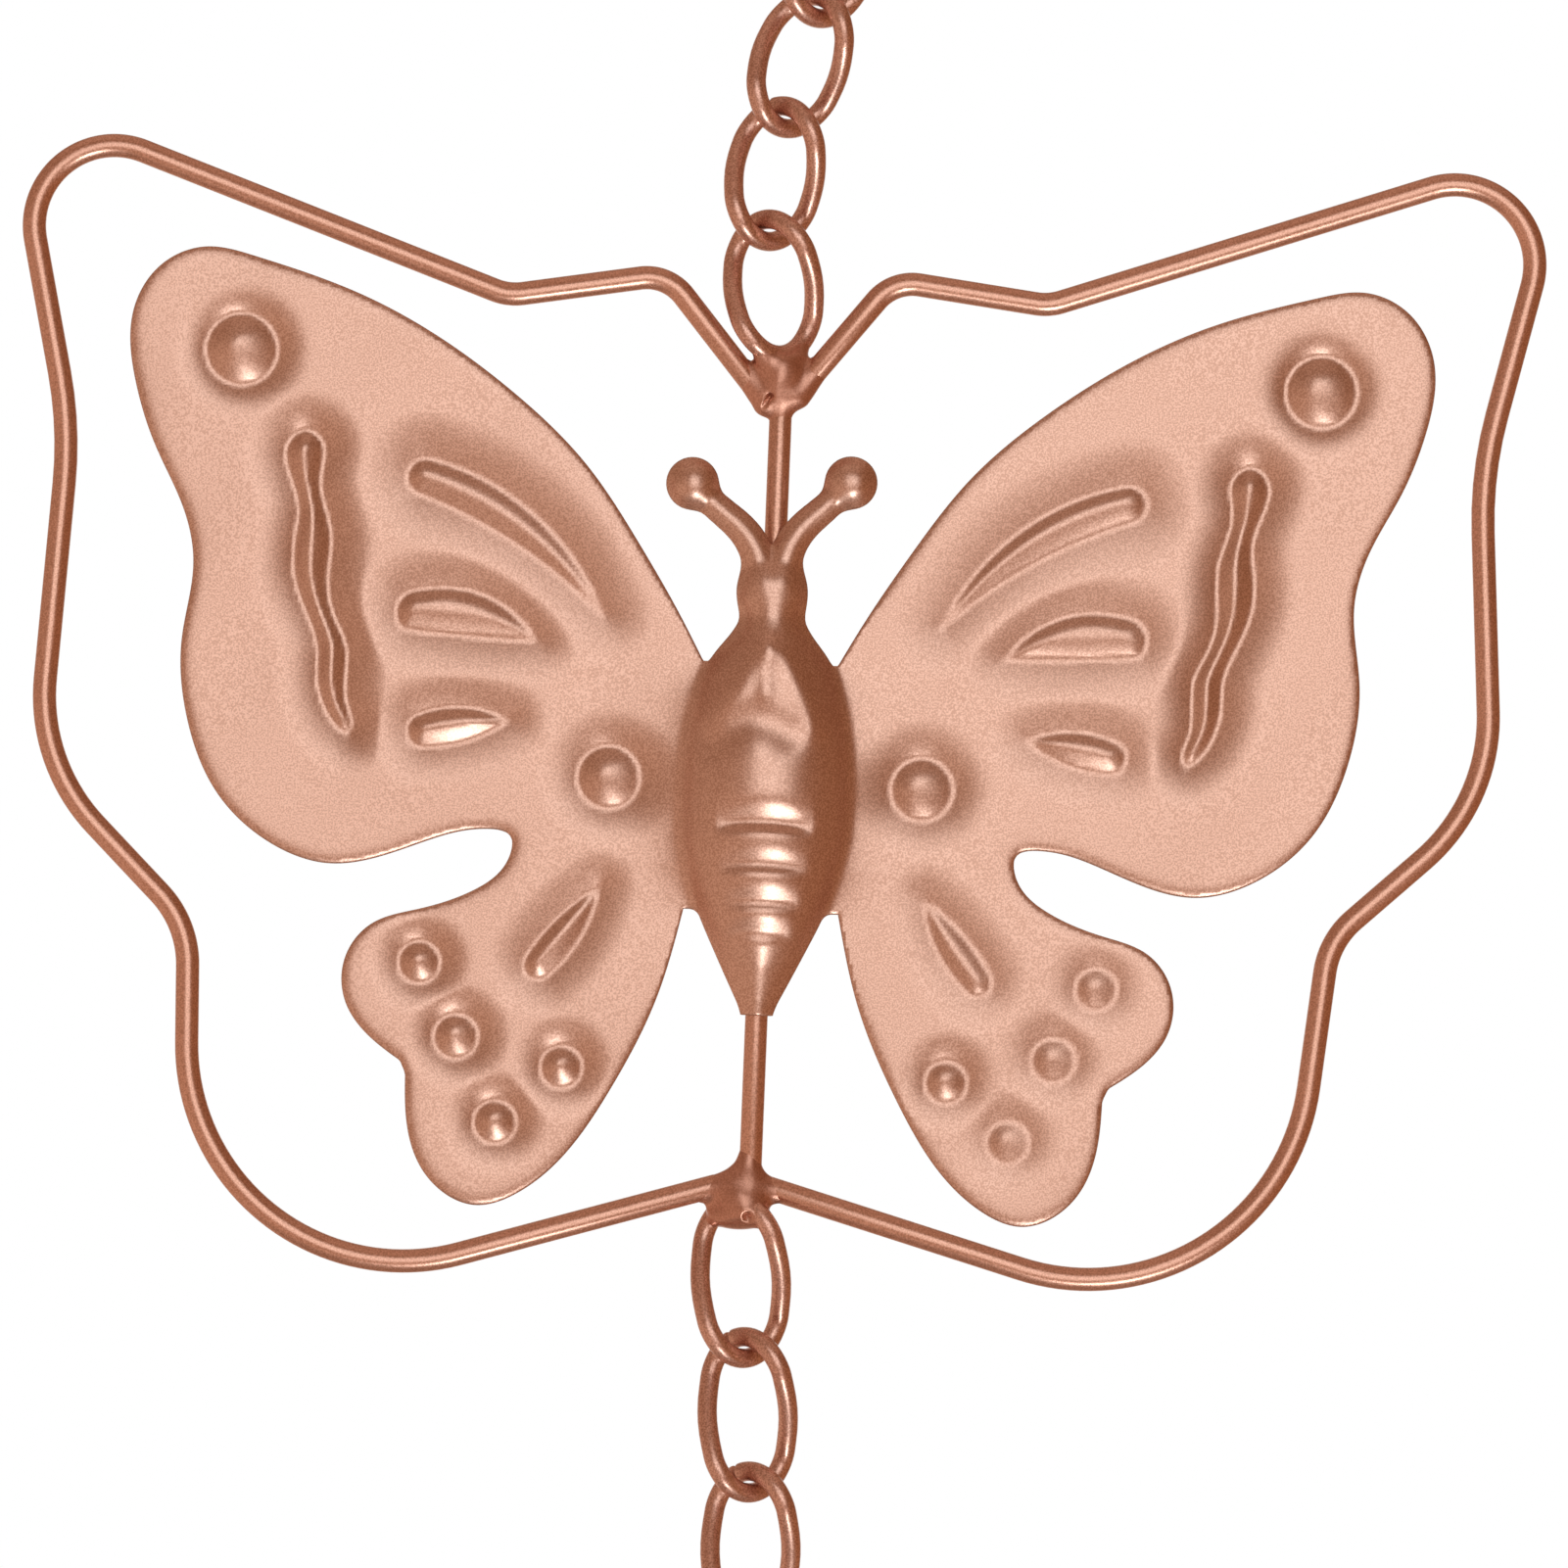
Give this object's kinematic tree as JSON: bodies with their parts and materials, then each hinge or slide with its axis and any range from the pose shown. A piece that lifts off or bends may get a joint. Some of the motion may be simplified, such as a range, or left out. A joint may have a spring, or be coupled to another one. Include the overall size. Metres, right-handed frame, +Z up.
{
  "type": "rain chain",
  "caption": "Butterfly unit of a rain chain: a pressed sheet butterfly on a rod inside an outline of bent wire, with twisted chain links welded above and below.",
  "frame": {"origin": "hang point: the inside of the upper bow of the topmost chain link", "axes": "+Z up along the rod, +X to the right of a viewer who faces the butterfly's pressed front, +Y away from that viewer, so the front faces -Y"},
  "size_m": [0.162, 0.0106, 0.1876],
  "materials": {
    "pressed_sheet": "satin copper-coloured metallic paint on pressed steel sheet",
    "frame_wire": "satin copper-coloured metallic paint on round steel wire",
    "chain_wire": "satin copper-coloured metallic paint on twisted steel links",
    "weld": "lumpy weld metal under the same copper-coloured paint"
  },
  "bodies": {
    "hang_link_body": {"hang_link": "chain_wire"},
    "upper_link_far_body": {"upper_link_far": "chain_wire"},
    "upper_link_near_body": {"upper_link_near": "chain_wire"},
    "butterfly_unit": {"top_welded_link": "chain_wire", "left_outline_wire": "frame_wire", "right_outline_wire": "frame_wire", "centre_rod": "frame_wire", "butterfly_stamping": "pressed_sheet", "top_weld": "weld", "bottom_weld": "weld", "head_tack": "weld", "tail_tack": "weld", "bottom_welded_link": "chain_wire"},
    "lower_link_body": {"lower_link": "chain_wire"},
    "tail_link_body": {"tail_link": "chain_wire"}
  },
  "joints": [
    {"name": "far_link_swing", "type": "hinge", "parent": "hang_link_body", "child": "upper_link_far_body", "pos_m": [-0.00237, 0, -0.01344], "axis": [0.7544, 0.6428, -0.133], "range_deg": [-60, 60]},
    {"name": "near_link_swing", "type": "hinge", "parent": "upper_link_far_body", "child": "upper_link_near_body", "pos_m": [-0.00516, 0, -0.02275], "axis": [0.7618, -0.6428, -0.0801], "range_deg": [-60, 60]},
    {"name": "butterfly_swing", "type": "hinge", "parent": "upper_link_near_body", "child": "butterfly_unit", "pos_m": [-0.00669, 0, -0.03737], "axis": [0.7618, 0.6428, -0.0801], "range_deg": [-60, 60]},
    {"name": "lower_link_swing", "type": "hinge", "parent": "butterfly_unit", "child": "lower_link_body", "pos_m": [-0.00422, 0, -0.15349], "axis": [0.7635, -0.6428, 0.0628], "range_deg": [-60, 60]},
    {"name": "tail_link_swing", "type": "hinge", "parent": "lower_link_body", "child": "tail_link_body", "pos_m": [-0.00284, 0, -0.17024], "axis": [0.7635, 0.6428, 0.0628], "range_deg": [-60, 60]}
  ]
}
